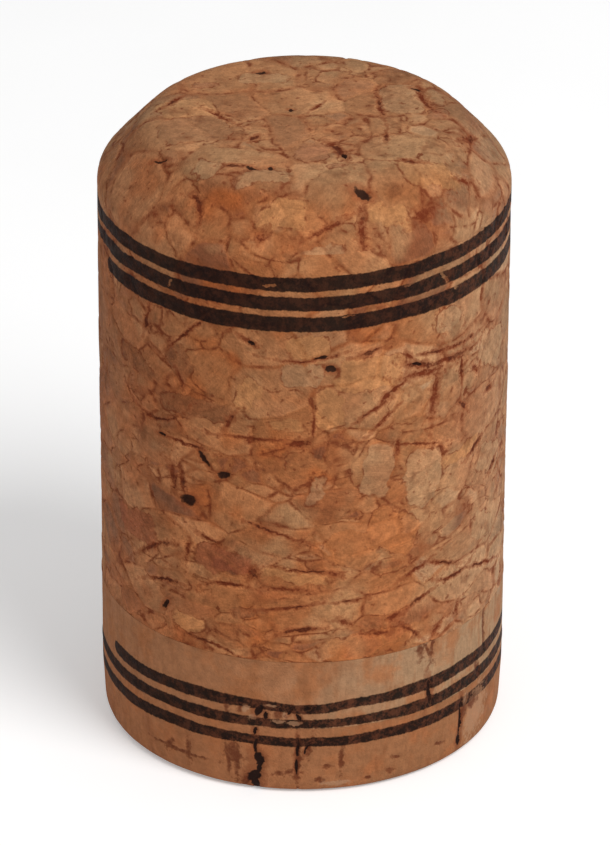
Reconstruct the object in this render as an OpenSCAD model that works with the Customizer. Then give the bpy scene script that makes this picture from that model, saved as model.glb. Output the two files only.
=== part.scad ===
// Bevelled cork stopper.
// A pressed-granule shank with two discs of natural cork glued under it.
// Millimetres, +Z up, origin at the centre of the flat base.

/* [Stopper] */
// Length from the flat base to the flat top
stopper_l = 48.5; // [36:0.1:60]
// Diameter of the straight wall
stopper_d = 30.4; // [24:0.1:40]

/* [Natural cork discs] */
// Thickness of the disc that forms the base
outer_disc_t = 5.65; // [4.6:0.05:9]
// Thickness of the disc between the base disc and the shank
inner_disc_t = 5.65; // [2:0.05:9]

/* [Foot] */
// Radius of the softened edge round the base
base_edge_r = 0.7; // [0.2:0.1:2]
// How far the wall draws in by the time it reaches the base
foot_taper_w = 0.2; // [0.05:0.05:0.6]
// Height over which the wall draws in
foot_taper_h = 3.8; // [2.5:0.1:4.6]

/* [Bevelled top] */
// Height of the bevel, down from the flat top
bevel_h = 4.2; // [3:0.1:8]
// Width of the bevel, in from the wall
bevel_w = 3.9; // [3:0.1:8]
// Radius that blends the wall into the bevel
shoulder_r = 2; // [0.4:0.1:4]
// Radius that blends the bevel into the flat top
brow_r = 3; // [0.4:0.1:5]

/* [Hidden] */
$fn = 180;
// A blend arc bites this far into both of its edges, so it crosses them cleanly
bite = 0.0005;

wall_r = stopper_d / 2;
top_r = wall_r - bevel_w;
base_r = wall_r - foot_taper_w;

// Heights of the two glued joints and of the bevel's lower edge
base_joint_z = outer_disc_t;
shank_joint_z = base_joint_z + inner_disc_t;
shoulder_z = stopper_l - bevel_h;

shank_colour = [0.67, 0.43, 0.27];
inner_disc_colour = [0.66, 0.50, 0.37];
outer_disc_colour = [0.61, 0.41, 0.27];

function unit(v) = v / norm(v);

// Half of the angle at corner p between the edges that run to a and b
function half_angle(a, p, b) = acos(unit(a - p) * unit(b - p)) / 2;

// The sliver that a blend of radius r takes off corner p. Its tip stands
// outside the corner, so that it leaves no skin behind when it is cut away.
module corner_sliver(a, p, b, r) {
    half = half_angle(a, p, b);
    inward = unit(unit(a - p) + unit(b - p));
    on_a = p + unit(a - p) * r / tan(half);
    on_b = p + unit(b - p) * r / tan(half);
    difference() {
        polygon([on_a, p - inward * r, on_b]);
        translate(p + inward * r / sin(half)) circle(r = r + bite);
    }
}

// Straight wall, bevel and flat top, with both edges of the bevel blended
module agglomerated_shank() {
    foot = [wall_r, shank_joint_z];
    shoulder = [wall_r, shoulder_z];
    brow = [top_r, stopper_l];
    crown = [0, stopper_l];
    color(shank_colour)
        rotate_extrude()
            difference() {
                polygon([[0, shank_joint_z], foot, shoulder, brow, crown]);
                corner_sliver(foot, shoulder, brow, shoulder_r);
                corner_sliver(shoulder, brow, crown, brow_r);
            }
}

// Plain disc between the shank and the base disc
module inner_disc() {
    color(inner_disc_colour)
        translate([0, 0, base_joint_z])
            cylinder(r = wall_r, h = inner_disc_t);
}

// Base disc: the wall draws in over the foot and ends in a soft edge
module outer_disc() {
    base_edge = [base_r, 0];
    foot_top = [wall_r, foot_taper_h];
    color(outer_disc_colour)
        rotate_extrude()
            difference() {
                polygon([[0, 0], base_edge, foot_top, [wall_r, base_joint_z], [0, base_joint_z]]);
                corner_sliver([0, 0], base_edge, foot_top, base_edge_r);
            }
}

agglomerated_shank();
inner_disc();
outer_disc();
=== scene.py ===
import math
import bpy
from mathutils import Matrix, Vector


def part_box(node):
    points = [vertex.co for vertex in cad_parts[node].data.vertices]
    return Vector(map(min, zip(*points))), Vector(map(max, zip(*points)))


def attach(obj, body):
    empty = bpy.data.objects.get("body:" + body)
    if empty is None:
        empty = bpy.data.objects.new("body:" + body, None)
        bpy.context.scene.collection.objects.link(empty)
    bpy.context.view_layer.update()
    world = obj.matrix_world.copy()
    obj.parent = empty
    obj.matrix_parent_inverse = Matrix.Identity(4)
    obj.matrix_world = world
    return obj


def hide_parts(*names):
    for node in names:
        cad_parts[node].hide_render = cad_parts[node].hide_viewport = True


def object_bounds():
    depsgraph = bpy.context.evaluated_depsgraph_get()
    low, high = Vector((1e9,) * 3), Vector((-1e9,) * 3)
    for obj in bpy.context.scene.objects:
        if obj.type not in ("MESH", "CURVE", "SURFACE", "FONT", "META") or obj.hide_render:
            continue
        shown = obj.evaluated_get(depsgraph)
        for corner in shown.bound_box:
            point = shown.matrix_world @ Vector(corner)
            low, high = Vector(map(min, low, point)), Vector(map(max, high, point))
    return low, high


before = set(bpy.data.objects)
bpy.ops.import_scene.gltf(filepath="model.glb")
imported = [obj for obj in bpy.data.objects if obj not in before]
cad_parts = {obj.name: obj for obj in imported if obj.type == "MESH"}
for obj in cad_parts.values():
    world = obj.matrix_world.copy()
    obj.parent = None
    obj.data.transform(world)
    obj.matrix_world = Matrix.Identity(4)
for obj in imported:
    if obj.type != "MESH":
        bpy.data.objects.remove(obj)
cadLow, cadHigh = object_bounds()
print("frame loaded:", ", ".join(sorted(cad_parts)))

metresPerMm = 0.001
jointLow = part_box("inner_disc")[0].z / metresPerMm       # height of the joint between the discs
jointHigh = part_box("inner_disc")[1].z / metresPerMm      # height of the joint under the shank
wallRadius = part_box("inner_disc")[1].x / metresPerMm
stopperHeight = cadHigh.z / metresPerMm
bevelFoot = 44.4                                         # marks above this height are laid out in plan
planShift = 500.0                                        # and kept this far from the wall's marks
footInset = 0.5                                          # the base face starts this far inside the wall
noGap = -5.0                                             # half gap of a ring that runs all the way round


def paint(red, green, blue):
    # display colour, 0 to 255, as the linear colour that a socket takes
    def linear(value):
        part = value / 255
        return part / 12.92 if part <= 0.04045 else ((part + 0.055) / 1.055) ** 2.4
    return (linear(red), linear(green), linear(blue), 1.0)


# ---- node helpers, for shader trees and geometry trees alike

class NodeBoard:
    def __init__(self, tree):
        self.tree = tree

    def feed(self, socket, value):
        if isinstance(value, bpy.types.NodeSocket):
            self.tree.links.new(value, socket)
        else:
            socket.default_value = value

    def put(self, kind, settings=None, feeds=None):
        node = self.tree.nodes.new(kind)
        for name, value in (settings or {}).items():
            setattr(node, name, value)
        for name, value in (feeds or {}).items():
            self.feed(node.inputs[name], value)
        return node

    def calc(self, operation, *values):
        node = self.put("ShaderNodeMath", {"operation": operation})
        for socket, value in zip(node.inputs, values):
            self.feed(socket, value)
        return node.outputs[0]

    def chain(self, operation, values):
        result = values[0]
        for value in values[1:]:
            result = self.calc(operation, result, value)
        return result

    def total(self, *values):
        return self.chain("ADD", values)

    def product(self, *values):
        return self.chain("MULTIPLY", values)

    def most(self, *values):
        return self.chain("MAXIMUM", values)

    def vector(self, operation, *values):
        node = self.put("ShaderNodeVectorMath", {"operation": operation})
        for socket, value in zip(node.inputs, values):
            self.feed(socket, value)
        return node.outputs["Value" if operation in ("LENGTH", "DOT_PRODUCT") else "Vector"]

    def scaled(self, vector, amount):
        # also brightens or darkens a colour
        node = self.put("ShaderNodeVectorMath", {"operation": "SCALE"}, {"Scale": amount})
        self.feed(node.inputs[0], vector)
        return node.outputs["Vector"]

    def shifted(self, vector, offset, amount):
        return self.vector("ADD", vector, self.scaled(offset, amount))

    def fade(self, value, fromLow, fromHigh, toLow=0.0, toHigh=1.0):
        node = self.put("ShaderNodeMapRange", {"interpolation_type": "SMOOTHSTEP", "clamp": False})
        for name, number in zip(("Value", "From Min", "From Max", "To Min", "To Max"),
                                (value, fromLow, fromHigh, toLow, toHigh)):
            self.feed(node.inputs[name], number)
        return node.outputs["Result"]

    def mixOf(self, dataType, first, factor, a, b):
        # first is the place of the A socket for that data type
        node = self.put("ShaderNodeMix", {"data_type": dataType})
        self.feed(node.inputs[0], factor)
        self.feed(node.inputs[first], a)
        self.feed(node.inputs[first + 1], b)
        return node.outputs[{2: 0, 4: 1, 6: 2}[first]]

    def mixNumber(self, factor, a, b):
        return self.mixOf("FLOAT", 2, factor, a, b)

    def mixVector(self, factor, a, b):
        return self.mixOf("VECTOR", 4, factor, a, b)

    def mixColour(self, factor, a, b):
        return self.mixOf("RGBA", 6, factor, a, b)

    def texture(self, point, scale, detail, roughness):
        return self.put("ShaderNodeTexNoise", {"noise_dimensions": "3D"}, {
            "Vector": point, "Scale": scale, "Detail": detail, "Roughness": roughness}).outputs

    def noise(self, point, scale, detail, roughness):
        return self.texture(point, scale, detail, roughness)["Fac"]

    def centred(self, vector):
        return self.vector("SUBTRACT", vector, (0.5, 0.5, 0.5))

    def sway(self, point, scale, detail, roughness):
        # a wandering offset, each part between -0.5 and 0.5
        return self.centred(self.texture(point, scale, detail, roughness)["Color"])

    def cells(self, point, scale, feature="F1"):
        return self.put("ShaderNodeTexVoronoi", {"voronoi_dimensions": "3D", "feature": feature},
                        {"Vector": point, "Scale": scale}).outputs

    def split(self, vector):
        return self.put("ShaderNodeSeparateXYZ", feeds={"Vector": vector}).outputs

    def join(self, x, y, z):
        return self.put("ShaderNodeCombineXYZ", feeds={"X": x, "Y": y, "Z": z}).outputs["Vector"]

    def ramp(self, value, stops):
        node = self.put("ShaderNodeValToRGB", feeds={"Fac": value})
        marks = node.color_ramp.elements
        while len(marks) < len(stops):
            marks.new(0.5)
        for mark, (position, colour) in zip(marks, stops):
            mark.position = position
            mark.color = colour
        return node.outputs["Color"]

    def use(self, build, feeds):
        # places a shared group; each is built once for shading and once for geometry
        kind = self.tree.bl_idname
        if (build, kind) not in builtGroups:
            builtGroups[build, kind] = build(kind)
        node = "ShaderNodeGroup" if kind == "ShaderNodeTree" else "GeometryNodeGroup"
        return self.put(node, {"node_tree": builtGroups[build, kind]}, feeds).outputs


builtGroups = {}
socketKinds = {"number": "NodeSocketFloat", "point": "NodeSocketVector",
               "shape": "NodeSocketGeometry", "material": "NodeSocketMaterial"}


def openGroup(name, treeKind, takes, gives):
    # a node group with its sockets, ready to be filled
    tree = bpy.data.node_groups.new(name, treeKind)
    for label, (kind, value) in takes.items():
        socket = tree.interface.new_socket(label, in_out="INPUT", socket_type=socketKinds[kind])
        if value is not None:
            socket.default_value = value
    for label, kind in gives.items():
        tree.interface.new_socket(label, in_out="OUTPUT", socket_type=socketKinds[kind])
    board = NodeBoard(tree)
    return board, board.put("NodeGroupInput").outputs, board.put("NodeGroupOutput").inputs


# ---- cork effects, all in millimetres

def buildPlace(treeKind):
    # unrolls the wall to (arc from the front, height); the bevel and the flat top lie in plan
    board, takes, gives = openGroup("unrolledPlace", treeKind, {"Point": ("point", None)},
                                    {"Place": "point", "Angle": "number"})
    x, y, z = board.split(takes["Point"])
    angle = board.calc("ARCTAN2", x, board.product(y, -1.0))
    # the base face counts as height below the foot, so that no mark runs in to the axis
    outward = board.vector("LENGTH", board.join(x, y, 0.0))
    inward = board.most(board.calc("SUBTRACT", wallRadius - footInset, outward), 0.0)
    wall = board.join(board.product(angle, wallRadius), board.calc("SUBTRACT", z, inward), 0.0)
    plan = board.join(x, board.total(y, planShift), 0.0)
    board.feed(gives["Place"], board.mixVector(board.calc("GREATER_THAN", z, bevelFoot), wall, plan))
    board.feed(gives["Angle"], board.calc("DEGREES", angle))
    return board.tree


def buildGrain(treeKind):
    # fine parallel layers, laid along a direction that the Turn vector sets
    board, takes, gives = openGroup("corkGrain", treeKind, {
        "Point": ("point", None), "Turn": ("point", (0.0, 0.0, 0.0)),
        "Along": ("number", 0.4), "Across": ("number", 2.6)}, {"Streak": "number", "Fleck": "number"})
    turned = board.put("ShaderNodeVectorRotate", {"rotation_type": "EULER_XYZ"},
                       {"Vector": takes["Point"], "Rotation": takes["Turn"]}).outputs["Vector"]
    layered = board.vector("MULTIPLY", turned, board.join(takes["Along"], takes["Across"], takes["Along"]))
    board.feed(gives["Streak"], board.noise(layered, 1.0, 2.0, 0.6))
    board.feed(gives["Fleck"], board.noise(layered, 3.4, 1.0, 0.6))
    return board.tree


granules = {
    "size": 4.4,            # typical granule, mm
    "crumbShare": 0.34,     # share of granules that are broken into crumbs
    "crumbRatio": 2.1,      # how much smaller the crumbs are
    "lowFlatness": 2.3,     # granules are pressed flat near the joint
    "highFlatness": 1.05,   # and nearly round at the top
    "bend": 2.6,            # how far the granule walls wander, mm
    "fray": 0.55,           # fine raggedness of the granule walls, mm
    "turn": 3.1,            # how widely the layers of each granule are turned, radians
    "domeSink": 0.025,      # how far each of these lies below the full size, mm: a granule's rim,
    "tiltSink": 0.02,       # the low side of a slanted granule,
    "stepSink": 0.03,       # one granule below the next, at most,
    "seamSink": 0.07,       # a seam between granules,
    "gapSink": 0.12,        # and an open gap between them
}


def buildGranules(treeKind):
    board, takes, gives = openGroup("pressedGranules", treeKind, {
        "Point": ("point", None), "Size": ("number", granules["size"]),
        "Crumb Share": ("number", granules["crumbShare"]),
        "Low Flatness": ("number", granules["lowFlatness"]),
        "High Flatness": ("number", granules["highFlatness"])},
        {"Tone": "number", "Turn": "point", "Facet": "number", "Edge": "number", "Seam": "number",
         "Lip Highlight": "number", "Halo": "number", "Gap": "number", "Sink": "number"})
    point = takes["Point"]
    x, y, z = board.split(point)
    # squeeze the height more at the foot than at the top
    lost = board.calc("SUBTRACT", takes["Low Flatness"], takes["High Flatness"])
    bow = board.product(z, z, 0.5 / stopperHeight, lost)
    pressed = board.join(x, y, board.calc("SUBTRACT", board.product(z, takes["Low Flatness"]), bow))
    warped = board.shifted(pressed, board.sway(pressed, 0.17, 1.0, 0.5), granules["bend"])
    warped = board.shifted(warped, board.sway(pressed, 0.8, 2.0, 0.65), granules["fray"])
    scale = board.calc("DIVIDE", 1.0, takes["Size"])
    crumbScale = board.product(scale, granules["crumbRatio"])
    big = board.cells(warped, scale)
    small = board.cells(warped, crumbScale)
    bigEdge = board.calc("DIVIDE", board.cells(warped, scale, "DISTANCE_TO_EDGE")["Distance"], scale)
    smallEdge = board.calc("DIVIDE", board.cells(warped, crumbScale, "DISTANCE_TO_EDGE")["Distance"],
                           crumbScale)
    broken = board.calc("LESS_THAN", board.split(big["Color"])[0], takes["Crumb Share"])
    colour = board.mixVector(broken, big["Color"], small["Color"])
    draw = board.split(colour)
    edge = board.mixNumber(broken, bigEdge, board.calc("MINIMUM", bigEdge, smallEdge))
    # each granule lies at its own slant
    middle = board.mixVector(broken, big["Position"], small["Position"])
    facet = board.vector("DOT_PRODUCT", board.vector("SUBTRACT", warped, middle), board.centred(colour))
    # contacts are tight in places and open in others
    opening = board.noise(point, 0.33, 1.0, 0.5)
    tearing = board.noise(point, 0.95, 1.0, 0.5)
    width = board.fade(opening, 0.36, 0.68, 0.12, 0.30)
    seam = board.product(board.fade(edge, width, 0.0), board.fade(tearing, 0.44, 0.60, 0.08, 1.0))
    gapWidth = board.fade(board.noise(point, 0.7, 1.0, 0.4), 0.70, 0.80, 0.0, 0.6)
    gap = board.fade(edge, gapWidth, board.product(gapWidth, 0.4))
    gap = board.product(gap, board.calc("GREATER_THAN", gapWidth, 0.02))
    # a painted highlight along the raised lip beside a seam
    lipHighlight = board.product(board.fade(edge, 0.12, 0.24), board.fade(edge, 0.5, 0.28),
                        board.fade(tearing, 0.40, 0.60, 0.15, 1.0))
    # a darkening by each granule edge where contacts open: partly stain, partly painted shade between the
    # granules
    rimStainAndShade = board.product(board.fade(edge, 0.6, 0.0), board.fade(opening, 0.38, 0.62, 0.2, 1.0))
    dome = board.fade(edge, 0.4, 0.0, 0.0, granules["domeSink"])
    tilt = board.product(board.most(board.total(facet, 1.0), 0.0), granules["tiltSink"])
    sink = board.total(dome, board.product(draw[2], granules["stepSink"]), tilt,
                       board.product(seam, granules["seamSink"]), board.product(gap, granules["gapSink"]))
    found = {"Tone": draw[1], "Turn": board.scaled(colour, granules["turn"]), "Facet": facet,
             "Edge": edge, "Seam": seam, "Lip Highlight": lipHighlight, "Halo": rimStainAndShade, "Gap": gap, "Sink": sink}
    for label, value in found.items():
        board.feed(gives[label], value)
    return board.tree


def laidAcross(board, takes):
    # how far along and across an oval of size 1 a place lies
    turnCos = board.calc("COSINE", takes["Turn"])
    turnSin = board.calc("SINE", takes["Turn"])
    lengthwise = board.join(board.calc("DIVIDE", turnCos, takes["Half Length"]),
                            board.calc("DIVIDE", turnSin, takes["Half Length"]), 0.0)
    crosswise = board.join(board.calc("DIVIDE", board.product(turnSin, -1.0), takes["Half Width"]),
                           board.calc("DIVIDE", turnCos, takes["Half Width"]), 0.0)
    offset = board.vector("SUBTRACT", takes["Place"], takes["Centre"])
    return board.vector("DOT_PRODUCT", offset, lengthwise), board.vector("DOT_PRODUCT", offset, crosswise)


markSockets = {"Place": ("point", None), "Centre": ("point", (0.0, 0.0, 0.0)), "Turn": ("number", 0.0),
               "Half Length": ("number", 1.0), "Half Width": ("number", 0.2)}


def buildCrack(treeKind):
    # one long oval, straight or bowed; Reach is 1 on its outline and 0 in its middle
    board, takes, gives = openGroup("crack", treeKind, {**markSockets, "Bow": ("number", 0.0)},
                                    {"Reach": "number"})
    along, across = laidAcross(board, takes)
    alongSquare = board.product(along, along)
    bowing = board.product(alongSquare, board.calc("DIVIDE", takes["Bow"], takes["Half Width"]))
    bowed = board.total(across, bowing)
    board.feed(gives["Reach"], board.total(alongSquare, board.product(bowed, bowed)))
    return board.tree


def buildBlock(treeKind):
    # one blunt-cornered granule; Depth is 0 on its outline and grows inward, in mm
    board, takes, gives = openGroup("block", treeKind, markSockets, {"Depth": "number"})
    along, across = laidAcross(board, takes)
    alongSquare = board.product(along, along)
    acrossSquare = board.product(across, across)
    blunt = board.total(board.product(alongSquare, alongSquare), board.product(acrossSquare, acrossSquare))
    quarter = board.product(board.calc("MINIMUM", takes["Half Length"], takes["Half Width"]), 0.25)
    board.feed(gives["Depth"], board.product(board.calc("SUBTRACT", 1.0, blunt), quarter))
    return board.tree


def placeCracks(board, place, ragged, cracks):
    # how near the closest of a list of (across, up, half length, half width, turn, bow) lies
    nearest = 99.0                                       # far from all of them
    for across, up, halfLength, halfWidth, turn, bow in cracks:
        one = board.use(buildCrack, {
            "Place": place, "Centre": (across, up, 0.0), "Turn": math.radians(turn),
            "Half Length": halfLength, "Half Width": halfWidth, "Bow": bow})
        nearest = board.calc("MINIMUM", nearest, one["Reach"])
    return board.product(nearest, ragged)


def raggedness(board, point):
    return board.fade(board.noise(point, 2.4, 2.0, 0.65), 0.3, 0.7, 0.4, 2.0)


def insideCracks(board, nearest):
    return board.fade(nearest, 1.5, 0.4)


def placeBlocks(board, place, blocks):
    # the depth inside a list of (across, up, half length, half width, turn)
    depth = -9.0                                         # outside all of them
    for across, up, halfLength, halfWidth, turn in blocks:
        one = board.use(buildBlock, {
            "Place": place, "Centre": (across, up, 0.0), "Turn": math.radians(turn),
            "Half Length": halfLength, "Half Width": halfWidth})
        depth = board.most(depth, one["Depth"])
    return depth


def onWall(marks):
    # marks given by angle in degrees and height, as places on the unrolled wall
    return [(math.radians(angle) * wallRadius, height, *rest) for angle, height, *rest in marks]


def onTop(marks):
    # marks given in plan, moved clear of the wall's
    return [(x, y + planShift, *rest) for x, y, *rest in marks]


def buildLenticels(treeKind):
    # natural pores that run along the axis: streaks on the wall, dots on the base
    board, takes, gives = openGroup("lenticels", treeKind, {
        "Point": ("point", None), "Spread": ("number", 2.3), "Length": ("number", 7.0),
        "Share": ("number", 0.3), "Bore": ("number", 0.17)}, {"Mask": "number"})
    wandering = board.shifted(takes["Point"], board.sway(takes["Point"], 0.9, 1.0, 0.6), 0.9)
    size = board.join(takes["Spread"], takes["Spread"], takes["Length"])
    cell = board.cells(board.vector("DIVIDE", wandering, size), 1.0)
    lucky = board.fade(board.split(cell["Color"])[0], board.calc("SUBTRACT", 1.0, takes["Share"]), 1.0)
    bore = board.product(lucky, takes["Bore"])
    mask = board.fade(cell["Distance"], bore, board.product(bore, 0.5))
    board.feed(gives["Mask"], board.product(mask, board.calc("GREATER_THAN", bore, 0.01)))
    return board.tree


def buildRing(treeKind):
    # a printed ring; it may rise on the right, fall on the left, swell at the sides, dip in front,
    # and stop and start again round a gap
    board, takes, gives = openGroup("printedRing", treeKind, {
        "Place": ("point", None), "Angle": ("number", 0.0), "Height": ("number", 10.0),
        "Thickness": ("number", 1.0), "Rise": ("number", 0.0), "Fall": ("number", 0.0),
        "Swell": ("number", 0.0), "Dip": ("number", 0.0), "Half Gap": ("number", noGap),
        "Gap Angle": ("number", 180.0), "Dip Angle": ("number", 2.0),
        "Drift": ("number", 0.0), "Bleed": ("number", 0.0)}, {"Mask": "number"})
    height = board.split(takes["Place"])[1]
    side = board.calc("MAXIMUM", board.calc("SINE", board.calc("RADIANS", takes["Angle"])), 0.0)
    fromDip = board.calc("ABSOLUTE", board.calc("SUBTRACT", takes["Angle"], takes["Dip Angle"]))
    middle = board.total(takes["Height"], board.product(side, takes["Rise"]), takes["Drift"],
                         board.product(board.fade(fromDip, 13.0, 3.0), takes["Dip"], -1.0),
                         board.product(board.fade(takes["Angle"], -28.0, -62.0),
                                       board.fade(takes["Angle"], -170.0, -110.0), takes["Fall"], -1.0))
    swollen = board.product(board.fade(fromDip, 10.0, 34.0), takes["Swell"])
    turn = board.calc("WRAP", board.calc("SUBTRACT", takes["Angle"], takes["Gap Angle"]), 180.0, -180.0)
    # how far a place lies inside the gap, in degrees and then in mm
    short = board.most(board.calc("SUBTRACT", takes["Half Gap"], board.calc("ABSOLUTE", turn)), 0.0)
    past = board.product(short, math.radians(1) * wallRadius)
    reach = board.vector("LENGTH", board.join(past, board.calc("SUBTRACT", height, middle), 0.0))
    halfThickness = board.product(board.total(takes["Thickness"], swollen), 0.5)
    inside = board.calc("SUBTRACT", halfThickness, board.total(reach, takes["Bleed"]))
    board.feed(gives["Mask"], board.fade(inside, -0.05, 0.07))
    return board.tree


# ---- meshes turned from the frame's own outlines

turning = {
    "nearest": 0.03,        # outline points closer than this count as one, mm
    "corner": 50.0,         # degrees of turn that end a section
    "softenings": 4,        # passes that soften the frame's own small facets
    "jointSkin": 0.3,       # share of the relief that is left beside a joint
    "jointReach": 0.7,      # and how slowly the rest comes back, mm
    "crowding": 0.72,       # a ring has half the points where they would stand closer than this, in steps
    "keptSharp": 65.0,      # degrees, so that the edges at the joints stay crisp
    # where the rings of a glued face lie, from its middle to its edge
    "hiddenRings": [0.0, 0.3, 0.55, 0.75, 0.87, 0.94, 0.97, 1.0],
}


def outlineOf(node):
    # the node's (radius, height) outline in mm, from the axis at its foot to the axis at its top
    low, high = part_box(node)
    middle = (low.z + high.z) / 2
    points = {(0.0, low.z), (0.0, high.z)}
    points |= {(math.hypot(v.co.x, v.co.y), v.co.z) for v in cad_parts[node].data.vertices}
    ordered = sorted(points, key=lambda p: math.atan2(p[1] - middle, p[0]))
    kept = []
    for radius, height in ordered:
        spot = Vector((radius, height)) / metresPerMm
        if not kept or (spot - kept[-1]).length > turning["nearest"]:
            kept.append(spot)
    kept[0].x = 0.0
    kept[-1].x = 0.0
    return kept


def sectionsOf(outline):
    # the outline cut at its sharp corners
    sections = [[outline[0]]]
    for before, here, after in zip(outline, outline[1:], outline[2:]):
        sections[-1].append(here)
        if (here - before).angle(after - here) > math.radians(turning["corner"]):
            sections.append([here])
    sections[-1].append(outline[-1])
    return sections


def spaced(section, step):
    # points at even steps along a section
    lengths = [0.0]
    for a, b in zip(section, section[1:]):
        lengths.append(lengths[-1] + (b - a).length)
    count = max(1, round(lengths[-1] / step))
    points = []
    leg = 0
    for i in range(count + 1):
        at = lengths[-1] * i / count
        while leg < len(section) - 2 and lengths[leg + 1] < at:
            leg += 1
        share = (at - lengths[leg]) / max(lengths[leg + 1] - lengths[leg], 1e-9)
        points.append(section[leg].lerp(section[leg + 1], min(1.0, share)))
    for _ in range(turning["softenings"]):
        points[1:-1] = [(a + 2 * b + c) / 4 for a, b, c in zip(points, points[1:], points[2:])]
    return points


def ringsOf(node, step, hiddenHeights):
    # (radius, height, showing) of each ring of the mesh; glued faces get few rings
    rings = []
    for section in sectionsOf(outlineOf(node)):
        flat = abs(section[0].y - section[-1].y) < 0.01
        hidden = flat and any(abs(section[0].y - h) < 0.05 for h in hiddenHeights)
        points = spaced(section, step)
        if hidden:
            shares = turning["hiddenRings"]
            if section[0].x > section[-1].x:
                shares = [1.0 - s for s in reversed(shares)]
            points = [section[0].lerp(section[-1], s) for s in shares]
        if rings:
            points = points[1:]
        for p in points:
            toJoint = min(abs(p.y - h) for h in hiddenHeights)
            shows = min(1.0, turning["jointSkin"] + toJoint / turning["jointReach"])
            rings.append((p.x, p.y, 0.0 if hidden and p.x < wallRadius - 0.01 else shows))
    return rings


def turnedPiece(name, node, step, fullCount, hiddenHeights):
    rings = ringsOf(node, step, hiddenHeights)
    vertices = []
    showing = []
    starts = []
    counts = []
    for radius, height, shows in rings:
        count = 1
        if radius > 1e-6:
            count = fullCount
            while count % 2 == 0 and math.tau * radius / count < step * turning["crowding"]:
                count //= 2
        if counts and counts[-1] > 1 and count > 1:      # only one halving from ring to ring
            count = min(max(count, counts[-1] // 2), counts[-1] * 2)
        starts.append(len(vertices))
        counts.append(count)
        for i in range(count):
            turn = math.tau * i / count
            vertices.append((radius * math.cos(turn) * metresPerMm,
                             radius * math.sin(turn) * metresPerMm, height * metresPerMm))
            showing.append(shows)
    faces = []
    for k in range(len(rings) - 1):
        faces += bridge(starts[k], counts[k], starts[k + 1], counts[k + 1])
    mesh = bpy.data.meshes.new(name)
    mesh.from_pydata(vertices, [], faces)
    skin = mesh.attributes.new("skin", "FLOAT", "POINT")
    skin.data.foreach_set("value", showing)
    mesh.shade_smooth()
    piece = bpy.data.objects.new(name, mesh)
    bpy.context.scene.collection.objects.link(piece)
    return piece


def bridge(lowStart, lowCount, highStart, highCount):
    # faces between two rings that have equal counts, one twice the other, or a single centre point
    def low(i):
        return lowStart + i % lowCount

    def high(i):
        return highStart + i % highCount
    if lowCount == 1:
        return [(lowStart, high(i + 1), high(i)) for i in range(highCount)]
    if highCount == 1:
        return [(low(i), low(i + 1), highStart) for i in range(lowCount)]
    if lowCount == highCount:
        return [(low(i), low(i + 1), high(i + 1), high(i)) for i in range(lowCount)]
    faces = []
    for i in range(min(lowCount, highCount)):
        j = 2 * i
        if lowCount > highCount:
            faces += [(low(j), low(j + 1), high(i)), (low(j + 1), high(i + 1), high(i)),
                      (low(j + 1), low(j + 2), high(i + 1))]
        else:
            faces += [(low(i), low(i + 1), high(j + 1)), (low(i), high(j + 1), high(j)),
                      (low(i + 1), high(j + 2), high(j + 1))]
    return faces


def reliefTree(name, sinkOf):
    # sinks the skin along its normals; sinkOf returns the depth in mm at a point in mm
    board, takes, gives = openGroup(name, "GeometryNodeTree", {
        "Geometry": ("shape", None), "Depth": ("number", 1.0), "Base Sink": ("number", 0.03),
        "Finish": ("material", None)}, {"Geometry": "shape"})
    position = board.put("GeometryNodeInputPosition").outputs["Position"]
    point = board.scaled(position, 1 / metresPerMm)
    skin = board.put("GeometryNodeInputNamedAttribute", {"data_type": "FLOAT"},
                     {"Name": "skin"}).outputs["Attribute"]
    depth = board.total(board.product(sinkOf(board, point), takes["Depth"]), takes["Base Sink"])
    normal = board.put("GeometryNodeInputNormal").outputs["Normal"]
    moved = board.put("GeometryNodeSetPosition", feeds={
        "Geometry": takes["Geometry"],
        "Offset": board.scaled(normal, board.product(depth, skin, -metresPerMm))}).outputs["Geometry"]
    real = board.put("GeometryNodeRealizeInstances", feeds={"Geometry": moved}).outputs["Geometry"]
    done = board.put("GeometryNodeSetMaterial", feeds={"Geometry": real, "Material": takes["Finish"]})
    board.feed(gives["Geometry"], done.outputs["Geometry"])
    return board.tree


def carve(piece, tree, values):
    # runs a relief tree on a piece and keeps the result as a plain mesh
    modifier = piece.modifiers.new("relief", "NODES")
    modifier.node_group = tree
    for item in tree.interface.items_tree:
        if item.in_out == "INPUT" and item.name in values:
            modifier[item.identifier] = values[item.name]
    graph = bpy.context.evaluated_depsgraph_get()
    mesh = bpy.data.meshes.new_from_object(piece.evaluated_get(graph))
    mesh.name = piece.name
    mesh.set_sharp_from_angle(angle=math.radians(turning["keptSharp"]))
    piece.modifiers.clear()
    piece.data = mesh


# ---- printed rings

# height, thickness, rise, fall, swell, dip and half gap; this one lies over the joint of the two discs
middleRing = (6.04, 0.74, 0.18, 0.24, 0.22, 0.0, noGap)
ink = {
    "colour": paint(19, 11, 11),
    "worn": paint(88, 48, 32),
    "topRings": [(42.15, 1.15, 0.43, 0.0, 0.0, 0.0, noGap), (40.60, 1.12, 0.36, 0.0, 0.0, 0.0, noGap),
                 (38.98, 1.24, 0.38, 0.0, 0.0, 0.0, 14.5)],
    "innerRings": [(7.57, 0.82, 0.24, 0.26, 0.20, 0.28, 16.5), middleRing],
    "outerRings": [middleRing, (4.50, 0.80, 0.10, 0.30, 0.16, 0.0, noGap)],
    "gapAngle": -82.5,      # degrees from the front, the middle of the gap in two of the rings
    "drift": 0.30,          # how far the rings wander up and down, mm
    "bleed": 0.27,          # how far the ink spreads or falls short, mm
    "cover": 0.96,          # how well the ink hides the cork, and how well where a mark spoils it
    "spoiled": 0.4,
    "roughness": 0.7,
}


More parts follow.
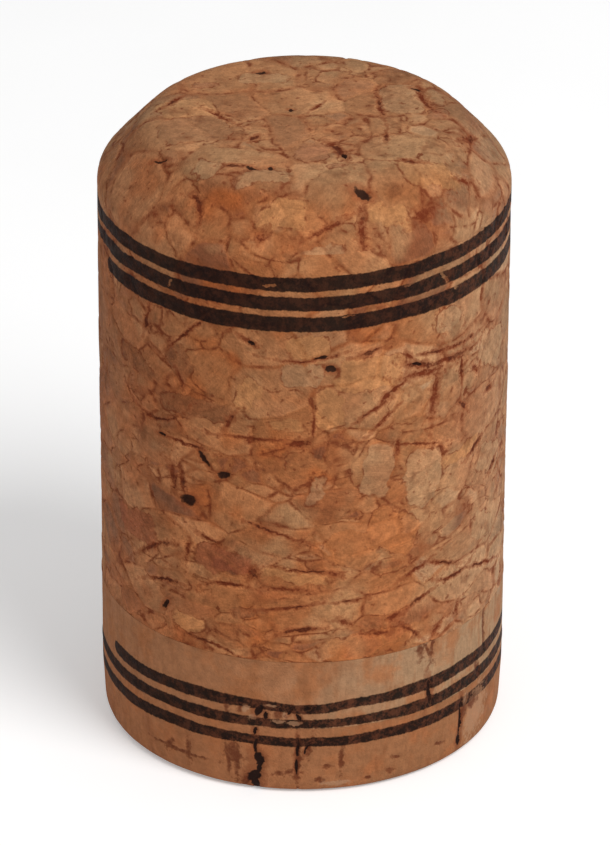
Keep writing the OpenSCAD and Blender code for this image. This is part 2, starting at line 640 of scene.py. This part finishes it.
def printRings(board, point, place, colour, rings, covered, wear):
    drift = board.product(board.calc("SUBTRACT", board.noise(point, 0.3, 1.0, 0.5), 0.5), ink["drift"])
    bleed = board.product(board.calc("SUBTRACT", board.noise(point, 2.4, 3.0, 0.75), 0.5), ink["bleed"])
    mask = 0.0
    for height, thickness, rise, fall, swell, dip, halfGap in rings:
        one = board.use(buildRing, {
            "Place": place["Place"], "Angle": place["Angle"], "Height": height, "Thickness": thickness,
            "Rise": rise, "Fall": fall, "Swell": swell, "Dip": dip, "Half Gap": halfGap,
            "Gap Angle": ink["gapAngle"], "Drift": drift, "Bleed": bleed})["Mask"]
        mask = board.most(mask, one)
    patchy = board.fade(board.noise(point, 1.5, 3.0, 0.8), 0.40, 0.66, 0.0, wear)
    shade = board.mixColour(patchy, ink["colour"], ink["worn"])
    cover = board.product(mask, board.fade(covered, 0.0, 1.0, ink["cover"], ink["spoiled"]))
    return board.mixColour(cover, colour, shade), mask


def newMaterial(name):
    material = bpy.data.materials.new(name)
    material.use_nodes = True
    board = NodeBoard(material.node_tree)
    board.tree.nodes.clear()
    spot = board.put("ShaderNodeTexCoord").outputs["Object"]
    mapping = board.put("ShaderNodeMapping", feeds={"Vector": spot, "Scale": (1 / metresPerMm,) * 3})
    return material, board, mapping.outputs["Vector"]


def finishMaterial(board, point, colour, printed, roughness):
    # a fine open grain for the bump; the ink has a roughness of its own
    skin = board.noise(point, 5.5, 2.0, 0.65)
    bump = board.put("ShaderNodeBump", feeds={"Strength": 0.8, "Distance": 0.0001, "Height": skin})
    mottle = board.fade(board.noise(point, 1.3, 1.0, 0.5), 0.3, 0.7, -0.06, 0.06)
    rough = board.total(mottle, board.mixNumber(printed, roughness, ink["roughness"]))
    shader = board.put("ShaderNodeBsdfPrincipled", feeds={
        "Base Color": colour, "Roughness": rough,
        "Normal": bump.outputs["Normal"], "Specular IOR Level": 0.06})
    output = board.put("ShaderNodeOutputMaterial")
    board.tree.links.new(shader.outputs["BSDF"], output.inputs["Surface"])


# ---- agglomerated shank

shankFinish = {
    "tones": [(0.00, paint(120, 71, 47)), (0.14, paint(146, 86, 54)), (0.32, paint(160, 96, 57)),
              (0.54, paint(168, 106, 65)), (0.76, paint(176, 116, 75)), (0.92, paint(180, 126, 87)),
              (1.00, paint(184, 140, 104))],
    "middle": 0.5,                       # tone that granules share where they touch
    "pale": paint(174, 130, 90),         # drifting pale areas
    "orange": paint(170, 90, 44),        # drifting areas of stronger colour
    "faded": paint(174, 144, 114),       # painted sheen, greying both sides as a glancing reflection would
    "stain": paint(118, 66, 40),         # brown clouds
    "rimStainAndShade": paint(138, 66, 36),          # the stained rims of seams, cracks and holes, and painted shade between granules
    "seam": paint(112, 50, 27),          # seams and cracks
    "gap": paint(32, 20, 17),            # the dark inside of holes, a painted shade deeper than the carved dip
    "blocks": {"grey": paint(176, 140, 104), "brown": paint(136, 82, 52), "light": paint(190, 130, 82),
               "orange": paint(180, 104, 56), "rust": paint(146, 76, 50)},
    "fills": {"grey": 0.38, "brown": 0.65, "light": 0.6, "orange": 0.36, "rust": 0.6},
    "topPaleAndSheen": paint(184, 145, 106),
    "roughness": 0.78,
    # heights in mm between which each of these comes in
    "flatTop": (47.2, 48.3),
    "bevel": (bevelFoot, 45.4),
    "shoulder": (39.0, 44.0),
    "bevelRadii": (9.0, 10.8),           # mm from the axis
    "inkWear": (0.3, 0.7),               # how thin the ink is in front, and on the right
    # how far each of these lies below the full size, mm: the outline of a standout granule, a hole, a crack
    "rimSink": 0.06,
    "pitSink": 0.18,
    "crackSink": 0.08,
}

# granules that stand out: angle or x, height or y, half length, half width, turn
shankBlocks = {
    "grey": onWall([
        (0.3, 34.9, 1.5, 0.95, 0), (20.6, 26.7, 2.1, 1.2, 84), (35.2, 25.3, 2.3, 1.6, 80),
        (2.9, 25.5, 1.2, 0.5, 80), (43.5, 37.4, 1.3, 0.9, 0), (44.2, 12.3, 1.3, 0.45, 28),
        (61.0, 18.6, 1.8, 1.0, -20), (65, 33, 2.2, 1.4, -20), (65, 24, 2.0, 1.2, -20),
    ]) + onTop([
        (7.0, 2.9, 2.6, 1.6, 95), (9.5, 3.4, 1.7, 0.4, 95), (-3.0, 6.4, 1.7, 1.0, 0),
        (-6.9, -8.6, 1.0, 0.7, -30), (-3.0, -10.2, 2.0, 0.7, 0), (1.6, -14.8, 1.6, 0.4, 5),
    ]),
    "brown": onWall([
        (-31.7, 31.1, 3.0, 0.85, 3), (-36, 34.3, 1.4, 0.9, -50), (-52.8, 32.9, 2.2, 0.8, -12),
        (-15.4, 15.2, 1.5, 0.38, 8),
    ]) + onTop([(-8.0, -2.6, 2.6, 2.1, 15)]),
    "light": onWall([
        (1.4, 37.2, 1.4, 1.0, 0), (-4.8, 30.85, 1.35, 0.5, 2), (19.2, 34.7, 2.7, 1.3, 0),
        (-15.4, 33.0, 1.25, 0.85, 60), (49.5, 26.0, 2.3, 0.5, 8), (-2, 18.5, 2.5, 0.5, -2),
        (7.2, 32.1, 1.6, 1.1, 90), (-33.6, 13.1, 1.6, 0.8, 0),
    ]) + onTop([
        (-8.6, 1.0, 2.1, 1.5, 15), (-1.4, -12.8, 1.7, 0.8, 2), (9.0, -7.9, 2.2, 0.9, 25),
        (6.1, -12.0, 1.8, 0.6, 10),
    ]),
    "orange": onWall([(19.0, 12.4, 3.9, 0.95, 3), (26, 21.5, 1.6, 2.2, 60), (14, 20.5, 1.5, 2.0, 70)]),
    "rust": onWall([(-53.8, 19.5, 2.4, 1.15, 0), (-23, 19.2, 2.3, 1.0, 0)]) + onTop([
        (0.6, -6.5, 1.5, 1.3, 80), (-7.4, 5.3, 1.0, 0.5, 0), (9.6, 0.5, 0.8, 0.7, 0),
        (2.1, -8.6, 0.6, 0.4, 0),
    ]),
}
# granules that stand out by their outline only
shankOutlines = [
    (31.7, 31.9, 1.85, 1.8, 0), (44.3, 32.1, 1.9, 1.25, 90), (26, 18.8, 1.35, 0.6, -4),
    (0.2, 27.8, 1.55, 1.15, 0), (-6.7, 32.4, 2.5, 1.2, 4),
]
# dark holes, then brown cracks and open seams: the same numbers, and how far each bows
shankPits = onWall([
    (7.5, 35.4, 0.36, 0.28, -30, 0), (4.9, 36.3, 0.45, 0.12, 15, 0), (-28.3, 27.2, 0.68, 0.18, -53, 0),
    (-22.4, 26.2, 0.5, 0.28, 15, 0), (-33.6, 23.4, 0.66, 0.42, 15, 0), (-42.7, 28.1, 0.42, 0.13, 5, 0),
    (-41.8, 14.0, 0.5, 0.2, 55, 0), (33.0, 34.6, 0.5, 0.13, -24, 0), (-14.3, 37.25, 0.3, 0.13, -30, 0),
]) + onTop([
    (4.1, -11.3, 0.62, 0.34, -8, 0), (8.1, 4.7, 0.45, 0.2, -25, 0), (-3.7, -9.0, 0.5, 0.2, -35, 0),
    (-2.4, -9.05, 0.25, 0.18, 80, 0), (-10.3, -6.1, 0.6, 0.14, -35, 0), (2.85, -6.7, 0.4, 0.2, -70, 0),
    (-3.2, 7.5, 0.4, 0.3, 0, 0), (-1.0, 0.9, 0.25, 0.16, 0, 0),
])
shankCracks = onWall([
    (1.4, 36.1, 1.5, 0.09, 5, -0.1), (-15.4, 37.45, 0.5, 0.13, -28, 0), (18.7, 36.45, 0.75, 0.14, 10, 0),
    (-48.3, 37.0, 0.9, 0.14, 75, 0), (-34.6, 36.8, 1.8, 0.09, 45, 0), (-36, 33.2, 0.45, 0.14, -65, 0),
    (29.8, 35.6, 0.35, 0.14, -50, 0), (33.4, 34.5, 0.95, 0.22, -22, 0), (35, 33.75, 1.35, 0.22, -4, 0),
    (43.7, 35.05, 1.9, 0.12, -4, -0.1), (43, 34.15, 1.8, 0.17, 2, 0), (38.9, 32.0, 1.75, 0.25, 82, 0),
    (-38.6, 24.9, 0.9, 0.24, 105, 0), (-35.4, 24.9, 0.8, 0.18, 100, 0),
    (26.5, 33.2, 1.0, 0.13, 34, 0), (23.2, 32.6, 0.5, 0.2, 40, 0), (19.5, 31.7, 1.1, 0.12, 30, 0),
    (22.5, 30.8, 0.9, 0.1, 40, 0), (49.4, 32.8, 1.2, 0.09, 88, 0), (2.9, 31.1, 1.0, 0.09, 88, 0),
    (-20.8, 30.7, 0.7, 0.15, 60, 0), (-14.2, 29.45, 0.3, 0.18, 15, 0), (-1.4, 29.4, 0.6, 0.22, 5, 0),
    (-13, 29.6, 2.0, 0.09, 2, 0), (-45, 29.1, 1.6, 0.1, 6, -0.35), (-35, 28.0, 1.3, 0.08, -4, 0),
    (26.9, 28.4, 0.38, 0.16, 90, 0), (41.7, 27.0, 0.42, 0.16, -65, 0), (33, 28.2, 1.3, 0.06, -14, 0),
    (56, 25.75, 0.75, 0.15, 27, 0), (55.7, 32.2, 0.42, 0.15, -40, 0), (63.8, 29.7, 0.42, 0.17, 0, 0),
    (50, 29.8, 0.5, 0.13, -50, 0), (67, 23, 0.6, 0.15, 30, 0), (-7.4, 22.0, 1.45, 0.09, -18, 0),
    (-26.9, 20.7, 0.65, 0.14, -14, 0), (-33.6, 19.3, 0.55, 0.14, 80, 0), (-46.6, 18.4, 1.65, 0.12, 31, 0.1),
    (-21.3, 17.3, 1.15, 0.1, 5, 0.1), (-3.8, 17.4, 1.0, 0.11, -4, 0), (-14, 18.4, 0.4, 0.25, 60, 0),
    (8.4, 18.6, 0.45, 0.14, -20, 0), (2, 18.9, 1.6, 0.07, -5, 0), (-43, 16.0, 1.35, 0.1, 13, 0.1),
    (-4.3, 15.8, 1.45, 0.1, 9, 0), (-0.5, 14.05, 1.25, 0.12, 8, 0.1), (11.5, 14.6, 0.4, 0.2, -20, 0),
    (26.4, 14.3, 0.42, 0.16, 15, 0), (22, 13.2, 0.65, 0.13, -5, 0), (32.3, 12.6, 1.0, 0.12, -44, 0),
    (33, 17.75, 1.0, 0.11, 22, 0), (41.5, 17.6, 1.5, 0.12, -20, 0), (46.7, 15.9, 1.3, 0.13, 0, -0.2),
    (34.8, 15.2, 0.8, 0.1, 20, 0), (49, 13.0, 0.36, 0.17, 50, 0), (40.3, 12.0, 0.5, 0.14, 40, 0),
    (62, 15.3, 1.7, 0.11, -18, 0), (14, 16.3, 0.9, 0.1, 3, 0), (-25.5, 11.95, 1.75, 0.1, -11, 0.1),
]) + onTop([
    (4.1, -13.4, 0.9, 0.2, 95, 0.1), (1.4, -13.6, 1.2, 0.1, 24, 0), (2.5, -6, 1.25, 0.26, -64, 0.1),
    (-5, -8.6, 0.5, 0.18, 0, 0), (-3.6, -3.9, 0.45, 0.18, 60, 0), (5.9, -3.7, 0.6, 0.1, 90, 0),
    (5.5, 1.5, 1.4, 0.12, 97, 0), (8.6, 2.9, 1.7, 0.16, 105, 0.2), (-9.6, 2.2, 1.0, 0.15, 52, 0),
    (-6.1, -0.3, 1.0, 0.14, -48, 0), (-7.4, -10.9, 0.8, 0.15, -75, 0.2), (8.7, -10.6, 0.95, 0.25, 50, 0),
    (11.5, -6.6, 0.55, 0.12, 38, 0), (11.8, -2.2, 0.8, 0.18, 60, 0), (-3, -13.8, 0.35, 0.2, 20, 0),
    (0.8, 1.4, 0.6, 0.12, 55, 0), (7.6, -7.5, 0.6, 0.15, 10, 0),
])
# places where the rings took no ink
shankScuffs = [
    (41.5, 41.0, 0.7, 0.16, -50, 0), (45, 40.0, 0.6, 0.14, -30, 0), (-39, 40.6, 0.35, 0.12, 70, 0),
    (-9, 42.0, 0.5, 0.1, 5, 0), (30, 41.2, 0.5, 0.08, 10, 0), (12, 39.5, 0.6, 0.07, 6, 0),
]
# step: mm between the rings of its mesh; count: points in a full ring; depth: how strong its relief is
shank = {
    "node": "agglomerated_shank", "slot": "agglomerated_cork", "step": 0.215, "count": 448, "depth": 1.0,
}


def shankMarks(board, point):
    # where the standout granules, their outlines, the holes and the cracks lie
    place = board.use(buildPlace, {"Point": point})
    wander = board.sway(point, 0.9, 3.0, 0.75)
    near = board.shifted(place["Place"], wander, 0.6)
    wide = board.shifted(place["Place"], board.sway(point, 0.5, 3.0, 0.65), 2.0)
    depth = {tone: placeBlocks(board, wide, blocks) for tone, blocks in shankBlocks.items()}
    deepest = board.most(placeBlocks(board, wide, onWall(shankOutlines)), *depth.values())
    tearing = board.fade(board.noise(point, 1.1, 1.0, 0.5), 0.40, 0.58, 0.1, 1.0)
    rim = board.fade(board.calc("ABSOLUTE", deepest), 0.10, 0.02)
    ragged = raggedness(board, point)
    # holes keep a rounder shape than cracks
    toPits = placeCracks(board, board.shifted(place["Place"], wander, 0.35),
                         board.mixNumber(0.75, ragged, 0.8), shankPits)
    toCracks = placeCracks(board, near, ragged, shankCracks)
    fills = {tone: board.fade(inside, -0.06, 0.10) for tone, inside in depth.items()}
    return {"place": place, "fills": fills,
            "lipHighlights": board.product(board.fade(toCracks, 3.0, 7.0), board.fade(toCracks, 22.0, 10.0)),
            "whole": board.fade(deepest, -0.08, 0.10), "rim": board.product(rim, tearing),
            "pits": insideCracks(board, toPits), "cracks": board.fade(toCracks, 2.1, 0.5),
            "fringe": board.most(board.fade(toPits, 5.0, 0.8), board.fade(toCracks, 9.0, 1.0)),
            "scuffs": insideCracks(board, placeCracks(board, near, ragged, onWall(shankScuffs)))}


def shankSink(board, point):
    field = board.use(buildGranules, {"Point": point})
    marks = shankMarks(board, point)
    loose = board.product(field["Sink"], board.calc("SUBTRACT", 1.0, board.product(marks["whole"], 0.8)))
    return board.total(loose, board.product(marks["rim"], shankFinish["rimSink"]),
                       board.product(marks["pits"], shankFinish["pitSink"]),
                       board.product(marks["cracks"], shankFinish["crackSink"]))


def shankMaterial():
    material, board, point = newMaterial("agglomeratedCork")
    field = board.use(buildGranules, {"Point": point})
    grain = board.use(buildGrain, {"Point": point, "Turn": field["Turn"]})
    marks = shankMarks(board, point)
    x, y, z = board.split(point)
    flatTop = board.fade(z, *shankFinish["flatTop"])
    # the granules on the left are kept from the palest tones
    tone = board.calc("MINIMUM", field["Tone"], board.fade(x, -6.0, 7.0, 0.72, 1.0))
    tone = board.mixNumber(board.fade(field["Edge"], 0.0, 0.35), shankFinish["middle"], tone)
    colour = board.ramp(tone, shankFinish["tones"])
    # the wall is stronger in colour and a little darker below the top rings; the drift also grows towards
    # the right, so the right side is paler and the left more orange, a painted sheen
    drift = board.total(board.noise(point, 0.2, 2.0, 0.6), board.product(x, 0.006),
                        board.fade(z, 20.0, 34.0, 0.018, -0.03),
                        board.fade(z, *shankFinish["shoulder"], 0.0, 0.03))
    upWall = board.total(board.fade(z, 25.0, 31.0, 1.05, 0.95),
                         board.fade(z, *shankFinish["shoulder"], 0.0, 0.055))
    # a tint, what it follows, where it starts and ends, and how strong it grows
    for tint, spread, start, end, strength in (
            ("pale", drift, 0.50, 0.68, 0.6), ("orange", drift, 0.45, 0.30, 0.65),
            # the sides greyed, more on the right than on the left: a painted sheen
            ("faded", x, 7.0, 15.4, 0.4), ("faded", x, -5.0, -15.0, 0.2)):
        colour = board.mixColour(board.fade(spread, start, end, 0.0, strength), colour, shankFinish[tint])
    for tint, inside in marks["fills"].items():
        fill = board.product(inside, shankFinish["fills"][tint])
        colour = board.mixColour(fill, colour, shankFinish["blocks"][tint])
    # the flat top paler, partly its own paler cork and partly a painted sheen
    colour = board.mixColour(board.product(flatTop, 0.33), colour, shankFinish["topPaleAndSheen"])
    outward = board.vector("LENGTH", board.join(x, y, 0.0))
    onBevel = board.product(board.fade(z, *shankFinish["bevel"]),
                            board.fade(outward, *shankFinish["bevelRadii"]))
    bevelShade = board.product(onBevel, board.fade(x, 2.0, 12.0, -0.06, -0.18))
    cloud = board.noise(point, 0.55, 3.0, 0.65)
    colour = board.mixColour(board.fade(cloud, 0.52, 0.72, 0.0, 0.5), colour, shankFinish["stain"])
    speckle = board.noise(point, 1.7, 4.0, 0.8)
    streaky = board.product(board.fade(grain["Streak"], 0.3, 0.7, 0.93, 1.06),
                            board.fade(grain["Fleck"], 0.3, 0.7, 0.93, 1.07))
    light = board.product(board.mixNumber(board.product(flatTop, 0.6), streaky, 1.0),
                          board.fade(speckle, 0.32, 0.68, 0.80, 1.16),
                          # each granule lighter on one side and darker on the other, a painted shade of its
                          # slant
                          board.fade(field["Facet"], -0.9, 0.9, 0.89, 1.11),
                          # lips beside seams and cracks painted 15% lighter: a painted highlight
                          board.total(board.product(board.most(field["Lip Highlight"], marks["lipHighlights"]), 0.15), 1.0),
                          board.total(bevelShade, 1.0), upWall)
    colour = board.scaled(colour, light)
    plain = board.calc("SUBTRACT", 1.0, board.product(marks["whole"], 0.9))
    # rims darkened round granules, holes and cracks: partly stain, partly painted shade
    fringe = board.most(board.product(field["Halo"], plain, 0.30), board.product(marks["fringe"], 0.5))
    colour = board.mixColour(fringe, colour, shankFinish["rimStainAndShade"])
    # seams are deepest in colour where the speckle is dark, so they break up
    line = board.most(board.product(field["Seam"], plain, 0.85), board.product(marks["rim"], 0.72),
                      marks["cracks"], board.product(field["Gap"], plain, 0.8))
    crumbs = board.fade(board.noise(point, 2.2, 1.0, 0.5), 0.68, 0.78, 0.0, 0.6)
    line = board.most(board.product(line, board.fade(speckle, 0.62, 0.45, 0.45, 1.0)), crumbs)
    colour = board.mixColour(line, colour, shankFinish["seam"])
    # the deepest parts of holes are painted dark as shade, and so are the cracks where they open
    opened = board.product(marks["cracks"], board.fade(cloud, 0.48, 0.62, 0.0, 0.45))
    dark = board.most(board.fade(marks["pits"], 0.15, 0.95, 0.0, 0.92), opened)
    colour = board.mixColour(dark, colour, shankFinish["gap"])
    covered = board.most(marks["pits"], marks["scuffs"])
    wear = board.fade(marks["place"]["Angle"], 10.0, 60.0, *shankFinish["inkWear"])
    colour, printed = printRings(board, point, marks["place"], colour, ink["topRings"], covered, wear)
    finishMaterial(board, point, colour, printed, shankFinish["roughness"])
    return material


# ---- natural cork discs

discFinish = {
    "inner": {"wood": paint(168, 114, 78), "light": paint(170, 134, 101), "dark": paint(152, 98, 63),
              "warm": paint(170, 106, 65)},
    "outer": {"wood": paint(168, 110, 73), "light": paint(157, 106, 71), "dark": paint(146, 90, 57),
              "warm": paint(174, 107, 66)},
    "pores": paint(40, 23, 18),
    "rusts": paint(102, 51, 31),
    "fringe": paint(126, 68, 42),        # the stained rim of a pore
    "chips": paint(182, 140, 108),
    "strength": {"chips": 0.6, "fringe": 0.6, "rusts": 0.9},
    "roughness": 0.72,
    # how far each of these lies below the full size, mm
    "poreSink": 0.13,
    "rustSink": 0.06,
    "swellSink": 0.03,
}
# lenticels: share of the places for a natural pore that have one; marks as on the shank's wall
innerDisc = {
    "node": "inner_disc", "slot": "natural_cork_pale", "step": 0.14, "count": 704, "depth": 1.0,
    "lenticels": 0.08, "rings": ink["innerRings"],
    "pores": [(38.4, 6.9, 1.15, 0.2, 96, 0), (-12.2, 7.0, 0.5, 0.25, 70, 0),
              (-10.2, 6.6, 0.35, 0.18, 90, 0), (-3.4, 7.1, 0.35, 0.14, 60, 0),
              (-1.0, 6.6, 0.4, 0.14, 120, 0), (1.5, 7.3, 0.4, 0.2, 10, 0)],
    "rusts": [(35.0, 10.7, 0.62, 0.24, 100, 0), (37.6, 10.6, 0.9, 0.12, 118, 0),
              (39.2, 10.6, 0.9, 0.14, 82, 0), (63.0, 10.0, 1.9, 0.13, 92, 0),
              (-21.6, 6.9, 0.5, 0.16, 90, 0), (59.5, 6.6, 0.9, 0.22, 110, 0),
              (-6.5, 6.9, 0.45, 0.3, 90, 0), (-17.5, 7.2, 0.4, 0.2, 80, 0)],
    "chips": [(-16.0, 7.0, 0.35, 0.25, 90, 0), (-4.8, 6.8, 0.3, 0.2, 90, 0),
              (-13.8, 6.4, 0.3, 0.2, 20, 0), (-6.4, 6.2, 0.5, 0.18, 0, 0),
              (-2.0, 6.1, 0.7, 0.15, 4, 0), (-8.8, 7.5, 0.5, 0.1, 0, 0)],
}
outerDisc = {
    "node": "outer_disc", "slot": "natural_cork_tan", "step": 0.15, "count": 640, "depth": 1.0,
    "lenticels": 0.34, "rings": ink["outerRings"],
    "pores": [(-13.2, 5.2, 0.4, 0.17, 90, 0), (-12.9, 4.0, 0.65, 0.18, 82, 0),
              (-12.3, 2.95, 0.55, 0.4, 100, 0), (-11.8, 2.2, 0.6, 0.22, 72, 0),
              (-13.5, 1.25, 0.65, 0.5, 60, 0), (-13.2, 0.6, 0.55, 0.36, 90, 0),
              (-1.2, 3.9, 0.9, 0.14, 87, 0), (-1.6, 2.3, 0.7, 0.13, 95, 0),
              (1.4, 3.9, 0.5, 0.1, 70, 0), (51.6, 3.3, 1.9, 0.17, 91, 0),
              (51.2, 1.3, 0.5, 0.2, 100, 0)],
    "rusts": [(-41.0, 2.2, 0.5, 0.22, 45, 0), (-38, 1.95, 1.8, 0.12, 0, 0),
              (-34.0, 2.3, 0.75, 0.18, 90, 0), (-21.3, 2.6, 1.1, 0.16, 94, 0),
              (-18.5, 2.7, 1.2, 0.2, 88, 0), (-19.8, 3.1, 0.7, 0.4, 90, 0),
              (-15.6, 0.9, 0.5, 0.28, 60, 0), (-1.2, 3.0, 1.7, 0.2, 88, 0),
              (2.3, 4.0, 0.7, 0.12, 80, 0), (-3.6, 1.9, 0.3, 0.2, 20, 0),
              (11.2, 2.9, 0.9, 0.16, 85, 0), (7.2, 2.4, 0.26, 0.16, 0, 0),
              (5.0, 1.2, 0.26, 0.16, 20, 0), (27.6, 2.25, 0.3, 0.13, -20, 0),
              (25.6, 1.2, 0.28, 0.14, -10, 0), (19.0, 0.9, 0.24, 0.14, 0, 0),
              (42.6, 2.0, 0.36, 0.14, -10, 0), (53.2, 3.7, 0.8, 0.32, 70, 0),
              (57.5, 4.0, 0.6, 0.36, 10, 0), (-6.4, 1.7, 0.3, 0.16, 0, 0)],
    "chips": [(58.8, 2.9, 1.9, 1.35, 70, 0), (10.0, 0.8, 1.1, 0.2, 0, 0), (53.8, 4.6, 0.5, 0.4, 90, 0)],
}


def discMarks(board, point, plan):
    place = board.use(buildPlace, {"Point": point})
    near = board.shifted(place["Place"], board.sway(point, 1.2, 2.0, 0.6), 0.4)
    lenticels = board.use(buildLenticels, {"Point": point, "Share": plan["lenticels"]})["Mask"]
    ragged = raggedness(board, point)
    toPores = placeCracks(board, near, board.mixNumber(0.5, ragged, 0.9), onWall(plan["pores"]))
    mottle = board.fade(board.noise(point, 3.2, 2.0, 0.65), 0.34, 0.56, 0.7, 1.0)
    rusts = board.fade(placeCracks(board, near, ragged, onWall(plan["rusts"])), 3.6, 0.1)
    return {"place": place, "pores": board.most(lenticels, insideCracks(board, toPores)),
            "fringe": board.most(lenticels, board.fade(toPores, 7.0, 1.0)),
            "rusts": board.product(rusts, mottle),
            "chips": board.fade(placeCracks(board, near, ragged, onWall(plan["chips"])), 2.0, 0.5)}


def discSink(plan):
    def sink(board, point):
        marks = discMarks(board, point, plan)
        swell = board.product(board.noise(point, 0.5, 1.0, 0.5), discFinish["swellSink"])
        return board.total(board.product(marks["pores"], discFinish["poreSink"]),
                           board.product(marks["rusts"], discFinish["rustSink"]), swell)
    return sink


def discMaterial(name, finish, plan):
    material, board, point = newMaterial(name)
    grain = board.use(buildGrain, {"Point": point, "Turn": (0.0, 0.0, 0.4), "Along": 0.22, "Across": 1.5})
    marks = discMarks(board, point, plan)
    # paler towards the right, with a wandering edge: a painted sheen
    paleSideSheen = board.total(board.split(point)[0], board.product(board.noise(point, 0.2, 2.0, 0.6), 14.0))
    colour = board.mixColour(board.fade(paleSideSheen, 4.0, 17.0), finish["wood"], finish["light"])
    colour = board.mixColour(board.fade(board.noise(point, 0.35, 3.0, 0.6), 0.46, 0.66, 0.0, 0.7), colour,
                             finish["warm"])
    colour = board.mixColour(board.fade(grain["Streak"], 0.5, 0.74, 0.0, 0.6), colour, finish["dark"])
    light = board.product(board.fade(grain["Fleck"], 0.3, 0.7, 0.94, 1.06),
                          board.fade(board.noise(point, 1.5, 4.0, 0.8), 0.32, 0.68, 0.86, 1.10))
    colour = board.scaled(colour, light)
    for mark, strength in discFinish["strength"].items():
        colour = board.mixColour(board.product(marks[mark], strength), colour, discFinish[mark])
    colour = board.mixColour(board.fade(marks["pores"], 0.3, 0.9), colour, discFinish["pores"])
    covered = board.most(marks["pores"], marks["chips"])
    # the ink is thinnest in front and on the right
    angle = marks["place"]["Angle"]
    wear = board.most(board.fade(board.calc("ABSOLUTE", angle), 50.0, 12.0, 0.3, 1.0),
                      board.product(board.fade(angle, 8.0, 30.0), 0.85))
    colour, printed = printRings(board, point, marks["place"], colour, plan["rings"], covered, wear)
    finishMaterial(board, point, colour, printed, discFinish["roughness"])
    return material


def makePiece(name, plan, sinkOf, material):
    piece = turnedPiece(name, plan["node"], plan["step"], plan["count"], [jointLow, jointHigh])
    carve(piece, reliefTree(name + "Relief", sinkOf), {"Depth": plan["depth"], "Finish": material})
    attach(piece, "root")
    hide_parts(plan["node"])
    triangles = sum(len(face.vertices) - 2 for face in piece.data.polygons)
    print(f"{name}: {len(piece.data.vertices)} points, {triangles} triangles")


makePiece("shankSkin", shank, shankSink, shankMaterial())
makePiece("innerDiscSkin", innerDisc, discSink(innerDisc),
          discMaterial("paleDiscCork", discFinish["inner"], innerDisc))
makePiece("outerDiscSkin", outerDisc, discSink(outerDisc),
          discMaterial("tanDiscCork", discFinish["outer"], outerDisc))


# ---- floor, lights and camera

studio = {
    "floor": paint(244, 244, 244),
    "floorGrain": paint(240, 240, 240),
    "floorGlow": 0.29,      # seen by the camera and in reflections only, so the shadow stays
    "floorSize": 3.0,
    "skyLight": 0.42,
    "keyPower": 2.6,
    "keySize": 0.34,
    "keyTurn": 43.0,        # degrees to the right of the camera
    "keyRise": 50.0,        # degrees above the floor
    "keyFar": 0.62,         # metres from the middle of the stopper
}


def makeFloor():
    half = studio["floorSize"] / 2
    mesh = bpy.data.meshes.new("floor")
    mesh.from_pydata([(-half, -half, 0), (half, -half, 0), (half, half, 0), (-half, half, 0)], [],
                     [(0, 1, 2, 3)])
    floor = bpy.data.objects.new("floor", mesh)
    bpy.context.scene.collection.objects.link(floor)
    material = bpy.data.materials.new("floorPaper")
    material.use_nodes = True
    board = NodeBoard(material.node_tree)
    board.tree.nodes.clear()
    path = board.put("ShaderNodeLightPath").outputs
    grain = board.noise(board.put("ShaderNodeTexCoord").outputs["Object"], 60.0, 2.0, 0.5)
    tone = board.mixColour(grain, studio["floor"], studio["floorGrain"])
    seen = board.most(path["Is Camera Ray"], path["Is Glossy Ray"], path["Is Transmission Ray"])
    shader = board.put("ShaderNodeBsdfPrincipled", feeds={
        "Base Color": tone, "Roughness": 0.9, "Emission Color": (1.0, 1.0, 1.0, 1.0),
        "Emission Strength": board.product(seen, studio["floorGlow"])})
    output = board.put("ShaderNodeOutputMaterial")
    board.tree.links.new(shader.outputs["BSDF"], output.inputs["Surface"])
    mesh.materials.append(material)


def makeSky():
    world = bpy.data.worlds.new("studioSky")
    bpy.context.scene.world = world
    world.use_nodes = True
    board = NodeBoard(world.node_tree)
    board.tree.nodes.clear()
    path = board.put("ShaderNodeLightPath").outputs
    seen = board.most(path["Is Camera Ray"], path["Is Transmission Ray"])
    strength = board.mixNumber(seen, studio["skyLight"], 1.0)
    sky = board.put("ShaderNodeBackground", feeds={"Color": (1.0, 1.0, 1.0, 1.0), "Strength": strength})
    output = board.put("ShaderNodeOutputWorld")
    board.tree.links.new(sky.outputs["Background"], output.inputs["Surface"])


def makeLamp():
    light = bpy.data.lights.new("keyLamp", "AREA")
    light.shape = "DISK"
    light.size = studio["keySize"]
    light.energy = studio["keyPower"]
    lamp = bpy.data.objects.new("keyLamp", light)
    bpy.context.scene.collection.objects.link(lamp)
    across = math.radians(studio["keyTurn"])
    up = math.radians(studio["keyRise"])
    toward = Vector((math.sin(across) * math.cos(up), -math.cos(across) * math.cos(up), math.sin(up)))
    target = Vector((0, 0, cadHigh.z / 2))
    lamp.location = target + toward * studio["keyFar"]
    lamp.rotation_euler = toward.to_track_quat("Z", "Y").to_euler()


lens = {
    "length": 248.1,        # mm, on a sensor 36 mm wide
    "far": 0.4350,          # metres from the point it aims at
    "rise": 27.72,          # degrees
    "roll": 0.27,
    "aimHeight": 0.02317,   # metres
    "aimSide": 0.00013,
}


def makeCamera():
    data = bpy.data.cameras.new("camera")
    data.sensor_width = 36.0
    data.lens = lens["length"]
    data.clip_start = 0.01
    data.clip_end = 20.0
    camera = bpy.data.objects.new("camera", data)
    bpy.context.scene.collection.objects.link(camera)
    rise = math.radians(lens["rise"])
    back = Vector((0, -math.cos(rise), math.sin(rise)))
    aim = Vector((lens["aimSide"], 0, lens["aimHeight"]))
    facing = (-back).to_track_quat("-Z", "Y").to_matrix().to_4x4()
    roll = Matrix.Rotation(math.radians(lens["roll"]), 4, "Z")
    camera.matrix_world = Matrix.Translation(aim + back * lens["far"]) @ facing @ roll
    bpy.context.scene.camera = camera


makeFloor()
makeSky()
makeLamp()
makeCamera()
bpy.context.scene.view_settings.view_transform = "Standard"
print("floor, lights and camera placed")
